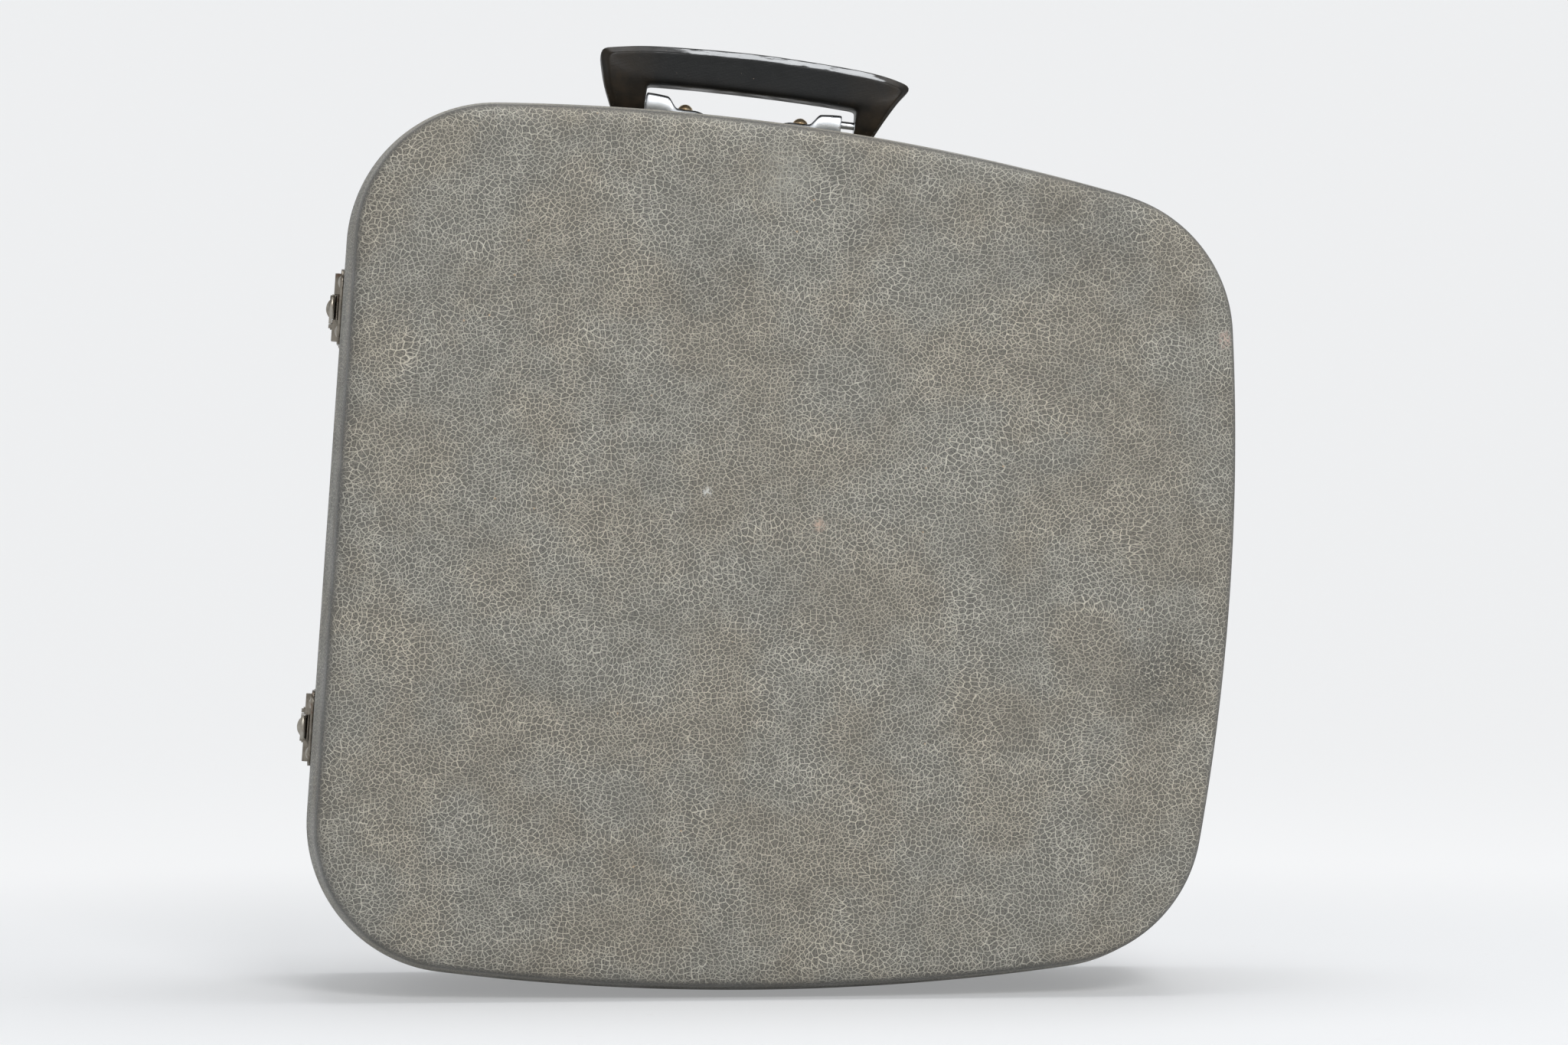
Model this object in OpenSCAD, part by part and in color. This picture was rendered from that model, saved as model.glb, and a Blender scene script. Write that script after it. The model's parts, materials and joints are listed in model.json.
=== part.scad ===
// Rigid clamshell carrying case for a portable typewriter, standing on its long curved side.
// Every piece is drawn in the case's own frame: x along the case, z across it, y in depth.
// The seam between lid (-y) and base (+y) lies at y = 0. stand() then tips the case onto its
// lower curved side, the way it rests by itself, with the ground at z = 0.

/* [Case outline] */
// Length of the case at the seam, from the straight side to the crest of the bulging side
body_l = 347; // [285:1:420]
// Width of the case at the seam, across its two long curved sides
body_w = 336.6; // [280:0.2:405]
// Distance of the widest place from the straight side
crest_at = 109.7; // [91:0.1:132]
// Radius of the bulging short side
side_r = 864; // [720:1:1200]
// Radius of the two long curved sides
long_r = 911; // [760:1:1300]
// Corner radius beside the bulging side
corner_r = 60.2; // [45:0.1:70]
// Corner radius beside the straight side
latch_corner_r = 57.3; // [45:0.1:70]

/* [Depth] */
// Depth of the lid, from the seam to its flat face
lid_d = 70; // [60:1:90]
// Depth of the base, from the seam to its flat face
base_d = 80; // [70:1:100]
// Straight band of the lid's wall beside the seam
lid_band = 25; // [22:1:30]
// Straight band of the base's wall beside the seam
base_band = 34; // [33:1:40]
// Inward lean of the lid's wall from the band to the face
lid_draft = 5; // [2:0.5:8]
// Inward lean of the base's wall from the band to the face
base_draft = 3; // [2:0.5:6]
// Rounding between wall and face
edge_r = 8; // [7.5:0.5:10]
// Gap between the two rims when the case is shut
seam_gap = 0.4; // [0.2:0.1:1]

/* [Walls] */
// Thickness of the leathercloth
cloth_t = 0.9; // [0.6:0.1:1.2]
// Thickness of the moulded board
board_t = 4.2; // [3:0.1:4.5]
// Thickness of the lining
lining_t = 0.8; // [0.5:0.1:1]
// Thickness of the alignment strip inside the rim
strip_t = 2; // [1.6:0.1:3]
// Height that the strip stands out of the base
strip_out = 6; // [3:0.5:10]
// Height of the strip held inside the base
strip_in = 17; // [17:1:20]
// Clearance between the strip and the rivets' washers inside the lid
strip_gap = 0.2; // [0.1:0.05:0.5]

/* [Handle] */
// Place of the handle's middle along the case
handle_x = -21.3; // [-30:0.1:0]
// Distance of the handle's middle behind the seam
handle_y = 13; // [12:0.5:15]
// Length of the grip over its tips
handle_l = 121; // [100:1:146]
// Inward lean of the grip's left end, from tip to foot
flare_left = 6.8; // [5.6:0.1:8.2]
// Inward lean of the grip's right end, from tip to foot
flare_right = 12.2; // [10.1:0.1:12.8]
// Mean thickness of the feet along the handle
foot_t = 9.8; // [9.2:0.1:12]
// Height of the finger gap above the pivot
finger_up = 7.2; // [6.9:0.1:10]
// Thickness of the grip at its middle
grip_t = 15.7; // [13:0.1:19]
// Rise of the grip's arched top from tip to middle
arch = 4.6; // [3.8:0.1:5.6]
// Depth of the grip from front to back
grip_d = 18; // [15:0.5:21]
// Height of the handle's pivot above the case
pivot_h = 6; // [5:0.1:7.2]
// Radius of the pivot pins
pivot_r = 1.5; // [1.2:0.1:1.8]
// Radial clearance of the pivot pins in the brackets
pivot_gap = 0.06; // [0.02:0.01:0.1]
// Length of a bracket
bracket_l = 26; // [25:0.5:32]
// Width of a bracket
bracket_w = 10; // [8.5:0.5:10.5]
// Thickness of a bracket's steel
bracket_t = 1.1; // [0.8:0.1:1.3]
// Height of a bracket's tongue above the case
tongue_h = 4.4; // [3.6:0.1:5.4]
// Sideways play of the handle, all of it beside the right foot
play = 5; // [4.2:0.1:6]

/* [Latches] */
// Distance of each latch's middle from the end of the straight side
latch_in = 28.5; // [16:0.1:45]
// Distance of the two latches' middle above the case's axis
latch_up = 3.7; // [-4:0.1:4.5]
// Width of a latch's plates
latch_w = 29; // [28:0.5:35]
// Length of the plate on the base
latch_l = 28; // [26:1:31]
// Thickness of the plates
plate_t = 1.2; // [0.8:0.1:1.4]
// Width of the lever
lever_w = 9; // [8:0.2:9.4]
// Radius of the lever's pin
latch_pin_r = 1.2; // [0.8:0.1:1.4]
// Radial clearance of the lever on its pin
latch_pin_gap = 0.05; // [0.02:0.01:0.1]
// Outer radius of the lever's eye and of the ears
ear_r = 2.3; // [2:0.1:2.8]
// Clearance between the lever's tip and the crossbar of the keeper
hook_gap = 0.2; // [0.1:0.05:0.4]

/* [Hinges] */
// Length of a hinge
hinge_l = 21; // [16:1:22]
// Width of one hinge leaf from the seam
leaf_w = 14; // [11:0.5:18]
// Thickness of a leaf
leaf_t = 0.8; // [0.6:0.1:0.9]
// Distance of the hinge line outside the crest of the bulging side
hinge_out = 0.6; // [0.5:0.1:1.5]
// Outer radius of a knuckle
knuckle_r = 1.9; // [1.8:0.1:2.2]
// Radius of the hinge pin
hinge_pin_r = 0.9; // [0.7:0.05:1]
// Radial clearance of the lid's knuckles on the pin
hinge_pin_gap = 0.04; // [0.02:0.01:0.08]

/* [Feet and fittings] */
// Height of a rubber foot
foot_h = 4; // [2:0.5:8]
// Radius of a rubber foot
foot_r = 8; // [6:0.5:12]
// Distance of the feet from the case's sides
foot_in = 63; // [50:1:76]
// Width of a clip that holds the machine
clip_w = 18; // [12:1:24]
// Height of a clip
clip_h = 16; // [10:1:24]
// Steel thickness of a clip
clip_t = 1.5; // [1:0.1:2.5]

/* [Hidden] */
$fn = 48;

// Arc centres of the outline, and the angles where one arc runs into the next.
left_x = -body_l / 2;
right_x = body_l / 2;
crest_x = left_x + crest_at;
side_c = [right_x - side_r, 0];
long_c = [crest_x, body_w / 2 - long_r];
span = norm(long_c - side_c);
along = (long_c - side_c) / span;
reach = ((side_r - corner_r) ^ 2 - (long_r - corner_r) ^ 2 + span ^ 2) / (2 * span);
rise = sqrt((side_r - corner_r) ^ 2 - reach ^ 2);
corner_c = side_c + reach * along + rise * [-along[1], along[0]];
latch_corner_c = [
  left_x + latch_corner_r,
  long_c[1] + sqrt((long_r - latch_corner_r) ^ 2 - (left_x + latch_corner_r - crest_x) ^ 2)
];
function angle_of(v) = atan2(v[1], v[0]);
side_end = angle_of(corner_c - side_c);
corner_end = angle_of(corner_c - long_c);
long_end = angle_of(latch_corner_c - long_c);

// Number of flats on each arc of the upper half.
side_n = 4;
corner_n = 9;
long_n = 15;
latch_corner_n = 10;

// The outline moved inward by d. Arcs keep their centres, so all outlines run parallel.
function arc(c, r, from, to, n, first) =
  [for (k = [first:n]) c + r * [cos(from + (to - from) * k / n), sin(from + (to - from) * k / n)]];
function upper_half(d) = concat(
  arc(side_c, side_r - d, 0, side_end, side_n, 0),
  arc(corner_c, corner_r - d, side_end, corner_end, corner_n, 1),
  arc(long_c, long_r - d, corner_end, long_end, long_n, 1),
  arc(latch_corner_c, latch_corner_r - d, long_end, 180, latch_corner_n, 1)
);
function outline(d) =
  let (h = upper_half(d))
  concat(h, [for (k = [len(h) - 1:-1:1]) [h[k][0], -h[k][1]]]);

// The case rests on flat rest_k of its lower long side, which sets its lean.
rest_k = 7;
flat_angle = (long_end - corner_end) / long_n;
lean = 90 - (corner_end + flat_angle * (rest_k + 0.5));
rest_depth = long_r * cos(flat_angle / 2);
ground = -crest_x * sin(lean) - long_c[1] * cos(lean) - rest_depth;

// Places that follow from the outline and from the thicknesses of what they carry.
latch_z = latch_corner_c[1] - latch_in;
latch_pin_h = plate_t + ear_r + 0.4;
foot_x = body_l / 2 - foot_in;
foot_z = body_w / 2 - foot_in;

// Middle of the object's own box after leaning, so that it stands over the origin.
lever_top = latch_pin_h + 1;
thumb_r = 5;
thumb_out = lever_top + 1.8;
turned = [for (p = outline(0)) p[0] * cos(lean) + p[1] * sin(lean)];
latch_reach = (left_x - thumb_out) * cos(lean) - (latch_z - latch_up) * sin(lean);
box_x = (min(concat(turned, [latch_reach])) + max(turned)) / 2;
box_y = (base_d - lid_d + foot_h) / 2;

module stand() translate([-box_x, -box_y, -ground]) rotate([0, lean, 0]) children();

// Wall layers, counted inward from the outer surface.
board_in = cloth_t;
lining_in = cloth_t + board_t;
room_in = cloth_t + board_t + lining_t;
arc_steps = 4;

// Section of one wall surface as [distance from the rim, inset], for the surface w below the outside.
function wall(w, depth, band, draft) =
  let (
    face_at = depth - seam_gap / 2,
    a0 = atan2(draft, face_at - band - edge_r),
    c = [face_at - edge_r, draft + edge_r * cos(a0)]
  )
  concat([[0, w], [band, w]], [
    for (k = [0:arc_steps])
      let (a = a0 + (90 - a0) * k / arc_steps)
      [c[0] + (edge_r - w) * sin(a), c[1] - (edge_r - w) * cos(a)]
  ]);

// A closed tray between the surfaces w1 and w2: rings out to the face, rings back to the rim.
module tray(w1, w2, depth, band, draft, way) {
  outer = wall(w1, depth, band, draft);
  inner = wall(w2, depth, band, draft);
  rings = concat(outer, [for (k = [len(inner) - 1:-1:0]) inner[k]]);
  n = len(outline(0));
  m = len(rings);
  turn = len(outer) - 1;
  points = [
    for (s = rings)
      for (p = outline(s[1])) [p[0], way * (seam_gap / 2 + s[0]), p[1]]
  ];
  sides = [
    for (j = [0:m - 1], i = [0:n - 1])
      if (j != turn)
        let (a = j * n, b = ((j + 1) % m) * n, k = (i + 1) % n)
        [a + i, b + i, b + k, a + k]
  ];
  caps = [
    [for (i = [n - 1:-1:0]) turn * n + i],
    [for (i = [0:n - 1]) (turn + 1) * n + i]
  ];
  faces = concat(sides, caps);
  polyhedron(points, way > 0 ? [for (f = faces) [for (k = [len(f) - 1:-1:0]) f[k]]] : faces);
}

// A straight ring along the outline, between the insets d1 and d2, from y1 to y2.
module rim_ring(d1, d2, y1, y2)
  translate([0, y2, 0]) rotate([90, 0, 0]) linear_extrude(y2 - y1) difference() {
    polygon(outline(d1));
    polygon(outline(d2));
  }

// Everything outside the case's straight band, for fittings cut to sit on the cloth.
module outside_only(y1, y2) difference() {
  children();
  translate([0, y2, 0]) rotate([90, 0, 0]) linear_extrude(y2 - y1) polygon(outline(0));
}

// Places: a latch on the straight side, the handle on the upper long side, hinges on the bulge.
// On a latch x points outward. On the handle z points outward.
module at_latch(side)
  translate([left_x, 0, side * latch_z + latch_up]) mirror([1, 0, 0]) children();
handle_angle = acos((handle_x - crest_x) / long_r);
handle_at = long_c + long_r * [cos(handle_angle), sin(handle_angle)];
module at_handle()
  translate([handle_at[0], handle_y, handle_at[1]]) rotate([0, 90 - handle_angle, 0]) children();
hinge_flat = [upper_half(0)[1], upper_half(0)[2]];
hinge_mid = (hinge_flat[0] + hinge_flat[1]) / 2;
hinge_turn = side_end / side_n * 1.5;
hinge_x = right_x + hinge_out;
module at_hinge(side)
  translate([hinge_mid[0], 0, side * hinge_mid[1]]) rotate([0, -side * hinge_turn, 0]) children();

// A plate on the side wall: drawn in y and z, thick along x.
module plate(t) rotate([90, 0, 90]) linear_extrude(t) children();

// Rivets go through the wall and end in a washer on the inside, which lies deep below the cloth.
rivet_r = 1.3;
rivet_head_r = 2.4;
rivet_head_h = 1;
washer_r = 3;
washer_t = 0.6;
hole_gap = 0.05;
rebate = washer_t + strip_gap;
module shank(out, deep) {
  translate([0, 0, -deep - washer_t]) cylinder(h = deep + washer_t + out, r = rivet_r);
  translate([0, 0, -deep - washer_t]) cylinder(h = washer_t, r = washer_r);
}
module rivet(out, head_r, head_h, deep) {
  intersection() {
    translate([0, 0, out]) cylinder(h = head_h, r = head_r);
    translate([0, 0, out + head_h - (head_r ^ 2 + head_h ^ 2) / (2 * head_h)])
      sphere(r = (head_r ^ 2 + head_h ^ 2) / (2 * head_h));
  }
  shank(out + head_h / 3, deep);
}
module rivet_hole()
  translate([0, 0, -room_in - strip_t - 1]) cylinder(h = room_in + 12, r = rivet_r + hole_gap);

// Rivet places on a latch's plate, a keeper, a hinge leaf and a bracket.
rim_rivets = [[8, 10.6], [8, -10.6]];
far_rivets = [[24, 10.6], [24, -10.6]];
plate_rivets = concat(rim_rivets, far_rivets);
keeper_rivet_at = [[-16, 9.5], [-16, -9.5]];
leaf_rivet_z = 6;
leaf_rivet_y = 9.5;
foot_gap = 0.6;
finger_l = handle_l - flare_left - flare_right - 2 * foot_t;
bracket_end = finger_l / 2 + 0.4;
bracket_rivet_x = bracket_end - 16.4;
// The long side curves away from the handle's straight axis by this much at the brackets' rivets.
handle_drop = long_r - sqrt(long_r ^ 2 - bracket_rivet_x ^ 2) + 0.15;

module latch_rivet_places(list)
  for (side = [-1, 1], p = list) at_latch(side) translate([0, p[0], p[1]]) rotate([0, 90, 0]) children();
module hinge_rivet_places(way)
  for (side = [-1, 1], z = [-leaf_rivet_z, leaf_rivet_z])
    at_hinge(side) translate([0, way * leaf_rivet_y, z]) rotate([0, 90, 0]) children();
module bracket_rivet_places()
  for (side = [-1, 1])
    at_handle() translate([side * bracket_rivet_x - (side > 0 ? play : 0), 0, 0]) children();

foot_places = [for (x = [-foot_x, foot_x - 8], z = [-foot_z, foot_z]) [x, z]];
screw_r = 1.6;
screw_l = cloth_t + board_t - 0.6;
module foot_screw_holes()
  for (p = foot_places)
    translate([p[0], base_d, p[1]]) rotate([90, 0, 0]) cylinder(h = screw_l, r = screw_r);

clip_x = left_x + 55;
clip_z = 62;
clip_foot = 20;
floor_y = base_d - room_in;
clip_rivet_at = 9;
module clip_rivet_places()
  for (side = [-1, 1])
    translate([clip_x + clip_rivet_at, floor_y, side * clip_z]) rotate([90, 0, 0]) children();

module hinge_clearance()
  for (side = [-1, 1])
    translate([hinge_x, 0, side * hinge_mid[1]])
      cylinder(h = hinge_l + 2, r = knuckle_r + 0.35, center = true);

module base_holes() {
  latch_rivet_places(plate_rivets) rivet_hole();
  hinge_rivet_places(1) rivet_hole();
  bracket_rivet_places() rivet_hole();
  hinge_clearance();
}
module lid_holes() {
  latch_rivet_places(keeper_rivet_at) rivet_hole();
  hinge_rivet_places(-1) rivet_hole();
  hinge_clearance();
}

// The base: moulded board, leathercloth outside, thin lining inside.
module base_board() color("burlywood") stand() difference() {
  tray(board_in, lining_in, base_d, base_band, base_draft, 1);
  base_holes();
  foot_screw_holes();
}
module base_cloth() color([0.38, 0.37, 0.33]) stand() difference() {
  tray(0, board_in, base_d, base_band, base_draft, 1);
  base_holes();
  foot_screw_holes();
}
module base_lining() color([0.45, 0.42, 0.36]) stand() difference() {
  tray(lining_in, room_in, base_d, base_band, base_draft, 1);
  base_holes();
}

// The strip inside the base's rim. It is rebated above the rim, where the lid slides over it.
module rim_strip() color("silver") stand() difference() {
  union() {
    rim_ring(room_in, room_in + strip_t, seam_gap / 2, strip_in);
    rim_ring(room_in + rebate, room_in + strip_t, -strip_out, seam_gap / 2);
  }
  latch_rivet_places(rim_rivets) rivet_hole();
  hinge_rivet_places(1) rivet_hole();
  bracket_rivet_places() rivet_hole();
}

module lid_board() color("burlywood") stand() difference() {
  tray(board_in, lining_in, lid_d, lid_band, lid_draft, -1);
  lid_holes();
}
module lid_cloth() color([0.4, 0.39, 0.35]) stand() difference() {
  tray(0, board_in, lid_d, lid_band, lid_draft, -1);
  lid_holes();
}
module lid_lining() color([0.45, 0.42, 0.36]) stand() difference() {
  tray(lining_in, room_in, lid_d, lid_band, lid_draft, -1);
  lid_holes();
}

// The grip: a flared bar seen from the front, crossed with its section seen from the end.
finger_h = pivot_h + finger_up;
mid_h = finger_h + grip_t;
tip_h = mid_h - arch;
foot_turn_r = pivot_h - 0.1;
arch_r = ((handle_l / 2) ^ 2 + arch ^ 2) / (2 * arch);
window_r = 1.8;
window_rise = 0.6;
module grip_front() difference() {
  intersection() {
    translate([0, mid_h - arch_r]) circle(r = arch_r, $fn = 96);
    polygon([
      [flare_left - handle_l / 2, 0], [handle_l / 2 - flare_right, 0],
      [handle_l / 2, tip_h - 2.8], [handle_l / 2, mid_h + 1],
      [-handle_l / 2, mid_h + 1], [-handle_l / 2, tip_h - 1],
      [flare_left / 4 - handle_l / 2, finger_h]
    ]);
  }
  polygon(concat(
    [[-finger_l / 2, -1], [finger_l / 2, -1]],
    arc([finger_l / 2 - window_r, finger_h - window_rise - window_r], window_r, 0, 90, 6, 0),
    [for (k = [5:-1:-5]) [k / 12 * finger_l, finger_h - window_rise * (k / 6) ^ 2]],
    arc([window_r - finger_l / 2, finger_h - window_rise - window_r], window_r, 90, 180, 6, 0)
  ));
}
grip_round = 5;
module grip_section() polygon(concat(
  arc([0, pivot_h], foot_turn_r, 205, 335, 12, 0),
  [[grip_d / 2, finger_h + 1]],
  arc([grip_d / 2 - grip_round, mid_h - grip_round], grip_round, 0, 90, 6, 0),
  arc([grip_round - grip_d / 2, mid_h - grip_round], grip_round, 90, 180, 6, 0),
  [[-grip_d / 2, finger_h + 1]]
));
pin_in_foot = 6;
module handle_grip() color([0.16, 0.17, 0.17]) stand() at_handle() difference() {
  intersection() {
    rotate([90, 0, 0]) linear_extrude(grip_d + 2, center = true) grip_front();
    rotate([90, 0, 90]) linear_extrude(handle_l + 2, center = true) grip_section();
  }
  for (side = [-1, 1]) {
    translate([side * (finger_l / 2 + pin_in_foot / 2), 0, pivot_h]) rotate([0, 90, 0])
      cylinder(h = pin_in_foot + 0.01, r = pivot_r, center = true);
    foot_plate_at(side, 0.01) foot_plate_shape();
  }
}

// A thin steel plate let into each foot's inner face, round the pin.
foot_plate_t = 0.5;
foot_plate_r = foot_turn_r - 1.3;
module foot_plate_shape() polygon(concat(
  arc([0, pivot_h], foot_plate_r, 180, 360, 12, 0),
  [[foot_plate_r, finger_h - 2.4], [-foot_plate_r, finger_h - 2.4]]
));
module foot_plate_at(side, over)
  translate([side * finger_l / 2 - (side > 0 ? over : foot_plate_t), 0, 0])
    rotate([90, 0, 90]) linear_extrude(foot_plate_t + over) children();
module foot_plates() color("silver") stand() at_handle() for (side = [-1, 1]) difference() {
  foot_plate_at(side, 0) foot_plate_shape();
  translate([side * finger_l / 2, 0, pivot_h]) rotate([0, 90, 0]) cylinder(h = 4, r = pivot_r, center = true);
}

// The pins reach from inside each hood into the foot, the right one across the play.
pin_in_hump = 6;
module handle_pins() color("silver") stand() at_handle() {
  translate([-finger_l / 2 - pin_in_foot, 0, pivot_h]) rotate([0, 90, 0])
    cylinder(h = pin_in_foot + pin_in_hump, r = pivot_r);
  translate([finger_l / 2 - play - pin_in_hump, 0, pivot_h]) rotate([0, 90, 0])
    cylinder(h = pin_in_foot + play + pin_in_hump, r = pivot_r);
}

// A bracket: a pressed hood with a hump over the pin and a tongue that is riveted down.
hump_l = 8;
slope_l = 4.9;
tongue_fall = 1;
rivet_land = bracket_end - bracket_rivet_x + 3.2;
hump_h = pivot_h + pivot_r + bracket_t + 0.6;
function hood(inset) =
  let (
    x0 = bracket_end - foot_gap - inset,
    x1 = x0 - hump_l + inset,
    top = hump_h - inset,
    low = tongue_h - inset,
    x3 = bracket_end - bracket_l + inset
  )
  concat(
    [[x0, -4], [x0, top - 1.5], [x0 - 0.44, top - 0.44], [x0 - 1.5, top]],
    [for (k = [0:8]) let (f = k / 8) [x1 - slope_l * f, low + (top - low) * (0.5 + 0.5 * cos(180 * f))]],
    [[bracket_end - rivet_land, low], [x3 + 2, low - tongue_fall],
      [x3, low - tongue_fall - 1 + inset / 2], [x3, -4]]
  );
module hood_plan(inset) {
  w = bracket_w / 2 - inset;
  x0 = bracket_end - inset;
  x1 = bracket_end - 15;
  x3 = bracket_end - bracket_l + inset;
  polygon([[x0, -w], [x0, w], [x1, w], [x3 + 4, 4 - inset], [x3, 1.6], [x3, -1.6], [x3 + 4, inset - 4], [x1, -w]]);
}
module hood_solid(inset) intersection() {
  rotate([90, 0, 0]) linear_extrude(bracket_w + 2, center = true) polygon(hood(inset));
  translate([0, 0, -6]) linear_extrude(20) hood_plan(inset);
}
module bracket() stand() outside_only(0, base_band) at_handle() translate([-play, 0, 0]) difference() {
  hood_solid(0);
  hood_solid(bracket_t);
  translate([bracket_end - 6, 0, pivot_h]) rotate([0, 90, 0]) cylinder(h = 12, r = pivot_r + pivot_gap);
  translate([bracket_rivet_x, 0, -3]) cylinder(h = 10, r = rivet_r + hole_gap);
}
module bracket_mirrored() stand() outside_only(0, base_band) at_handle() mirror([1, 0, 0]) difference() {
  hood_solid(0);
  hood_solid(bracket_t);
  translate([bracket_end - 6, 0, pivot_h]) rotate([0, 90, 0]) cylinder(h = 12, r = pivot_r + pivot_gap);
  translate([bracket_rivet_x, 0, -3]) cylinder(h = 10, r = rivet_r + hole_gap);
}
module handle_bracket_right() color("silver") bracket();
module handle_bracket_left() color("silver") bracket_mirrored();
module bracket_rivets() color("peru") stand()
  bracket_rivet_places() rivet(tongue_h, 3, 2.2, room_in + strip_t + handle_drop);

// A latch: plate with two ears on the base, lever on a pin between them.
ear_t = 1.6;
ear_gap = 0.25;
latch_pin_y = 23;
plate_y = 2;
module latch_plate(side) color([0.5, 0.48, 0.44]) stand() at_latch(side) difference() {
  union() {
    plate(plate_t) rounded(plate_y, plate_y + latch_l, latch_w, 5);
    for (z = [-1, 1])
      translate([0, 0, z * (lever_w / 2 + ear_gap + ear_t / 2)]) linear_extrude(ear_t, center = true) {
        translate([latch_pin_h, latch_pin_y]) circle(r = ear_r);
        translate([0, latch_pin_y - ear_r]) square([latch_pin_h, 2 * ear_r]);
      }
  }
  translate([latch_pin_h, latch_pin_y, 0]) cylinder(h = 30, r = latch_pin_r, center = true);
  for (p = plate_rivets)
    translate([0, p[0], p[1]]) rotate([0, 90, 0]) cylinder(h = 10, r = rivet_r + hole_gap, center = true);
}
module rounded(y1, y2, w, r) {
  translate([y1, -w / 2 + r]) square([y2 - y1, w - 2 * r]);
  translate([y1 + r, -w / 2]) square([y2 - y1 - 2 * r, w]);
  for (y = [y1 + r, y2 - r], z = [-w / 2 + r, w / 2 - r]) translate([y, z]) circle(r = r);
}

bar_r = 0.8;
bar_h = plate_t + 1;
bar_y = -8;
tip_y = bar_y - 2.4;
lever_t = 1.5;
tip_low = bar_h + bar_r + hook_gap;
module latch_lever(side) color([0.55, 0.53, 0.48]) stand() at_latch(side) difference() {
  union() {
    linear_extrude(lever_w, center = true) {
      translate([latch_pin_h, latch_pin_y]) circle(r = ear_r);
      translate([lever_top - lever_t, tip_y]) square([lever_t, latch_pin_y - tip_y]);
      translate([tip_low, tip_y]) square([lever_top - tip_low, 1.4]);
    }
    translate([thumb_out - thumb_r, 2.4, 0]) rotate([90, 0, 0]) linear_extrude(2) thumb_lip();
  }
  translate([latch_pin_h, latch_pin_y, 0])
    cylinder(h = 30, r = latch_pin_r + latch_pin_gap, center = true);
}
module thumb_lip() intersection() {
  circle(r = thumb_r);
  translate([lever_top - lever_t - thumb_out + thumb_r, -thumb_r]) square([20, 2 * thumb_r]);
}
module latch_pins() color("silver") stand() for (side = [-1, 1]) at_latch(side)
  translate([latch_pin_h, latch_pin_y, 0]) {
    cylinder(h = lever_w + 2 * (ear_gap + ear_t), r = latch_pin_r, center = true);
    for (z = [-1, 1]) translate([0, 0, z * (lever_w / 2 + ear_gap + ear_t + 0.3)])
      cylinder(h = 0.6, r = latch_pin_r + 0.4, center = true);
  }
module latch_rivets() color("silver") stand() {
  latch_rivet_places(rim_rivets) rivet(plate_t, rivet_head_r, rivet_head_h, room_in + strip_t);
  latch_rivet_places(far_rivets) rivet(plate_t, rivet_head_r, rivet_head_h, room_in);
}

// A keeper on the lid: plate, two blocks and the crossbar that the lever reaches over.
block_z = lever_w / 2 + 0.5;
block_w = 8;
block_h = 3.6;
keeper_y = -19;
module keeper(side) color([0.5, 0.48, 0.44]) stand() at_latch(side) difference() {
  union() {
    plate(plate_t) rounded(keeper_y, -plate_y, latch_w, 5);
    for (z = [-1, 1])
      translate([0, 0, z * (block_z + block_w / 2)]) linear_extrude(block_w, center = true)
        polygon([[0, bar_y - 3.5], [block_h - 1, bar_y - 3.5], [block_h, bar_y - 2.5],
          [block_h, bar_y + 3], [block_h - 1, bar_y + 4], [0, bar_y + 4]]);
    translate([bar_h, bar_y, 0]) cylinder(h = 2 * block_z + 1, r = bar_r, center = true);
  }
  for (p = keeper_rivet_at)
    translate([0, p[0], p[1]]) rotate([0, 90, 0]) cylinder(h = 10, r = rivet_r + hole_gap, center = true);
}
module keeper_rivets() color("silver") stand()
  latch_rivet_places(keeper_rivet_at) rivet(plate_t, rivet_head_r, rivet_head_h, room_in);

// Hinges: five knuckles on one pin, three on the base leaf and two on the lid leaf.
knuckle_l = hinge_l / 5;
knuckle_gap = 0.15;
module knuckles(side, first, count, r, extra)
  for (k = [0:count - 1])
    translate([hinge_x, 0, side * hinge_mid[1] + (first + 2 * k - 2) * knuckle_l])
      cylinder(h = knuckle_l - knuckle_gap + extra, r = r, center = true);
module hinge_leaf(side, way, mine, mine_n, other, other_n, bore) difference() {
  union() {
    difference() {
      outside_only(-lid_band, base_band) at_hinge(side) difference() {
        translate([-0.3, way > 0 ? 0.4 : -leaf_w, -hinge_l / 2]) cube([leaf_t + 0.3, leaf_w - 0.4, hinge_l]);
        for (z = [-leaf_rivet_z, leaf_rivet_z])
          translate([0, way * leaf_rivet_y, z]) rotate([0, 90, 0])
            cylinder(h = 4, r = rivet_r + hole_gap, center = true);
      }
      knuckles(side, other, other_n, knuckle_r + 0.25, 2 * knuckle_gap);
    }
    knuckles(side, mine, mine_n, knuckle_r, 0);
  }
  translate([hinge_x, 0, side * hinge_mid[1]]) cylinder(h = hinge_l + 4, r = bore, center = true);
}
module hinge_base_leaves() color("silver") stand()
  for (side = [-1, 1]) hinge_leaf(side, 1, 0, 3, 1, 2, hinge_pin_r);
module hinge_lid_leaves() color("silver") stand()
  for (side = [-1, 1]) hinge_leaf(side, -1, 1, 2, 0, 3, hinge_pin_r + hinge_pin_gap);
module hinge_pins() color("silver") stand()
  for (side = [-1, 1]) translate([hinge_x, 0, side * hinge_mid[1]])
    cylinder(h = hinge_l, r = hinge_pin_r, center = true);
module hinge_base_rivets() color("silver") stand() hinge_rivet_places(1) shank(leaf_t, room_in + strip_t);
module hinge_lid_rivets() color("silver") stand() hinge_rivet_places(-1) shank(leaf_t, room_in);

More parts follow.
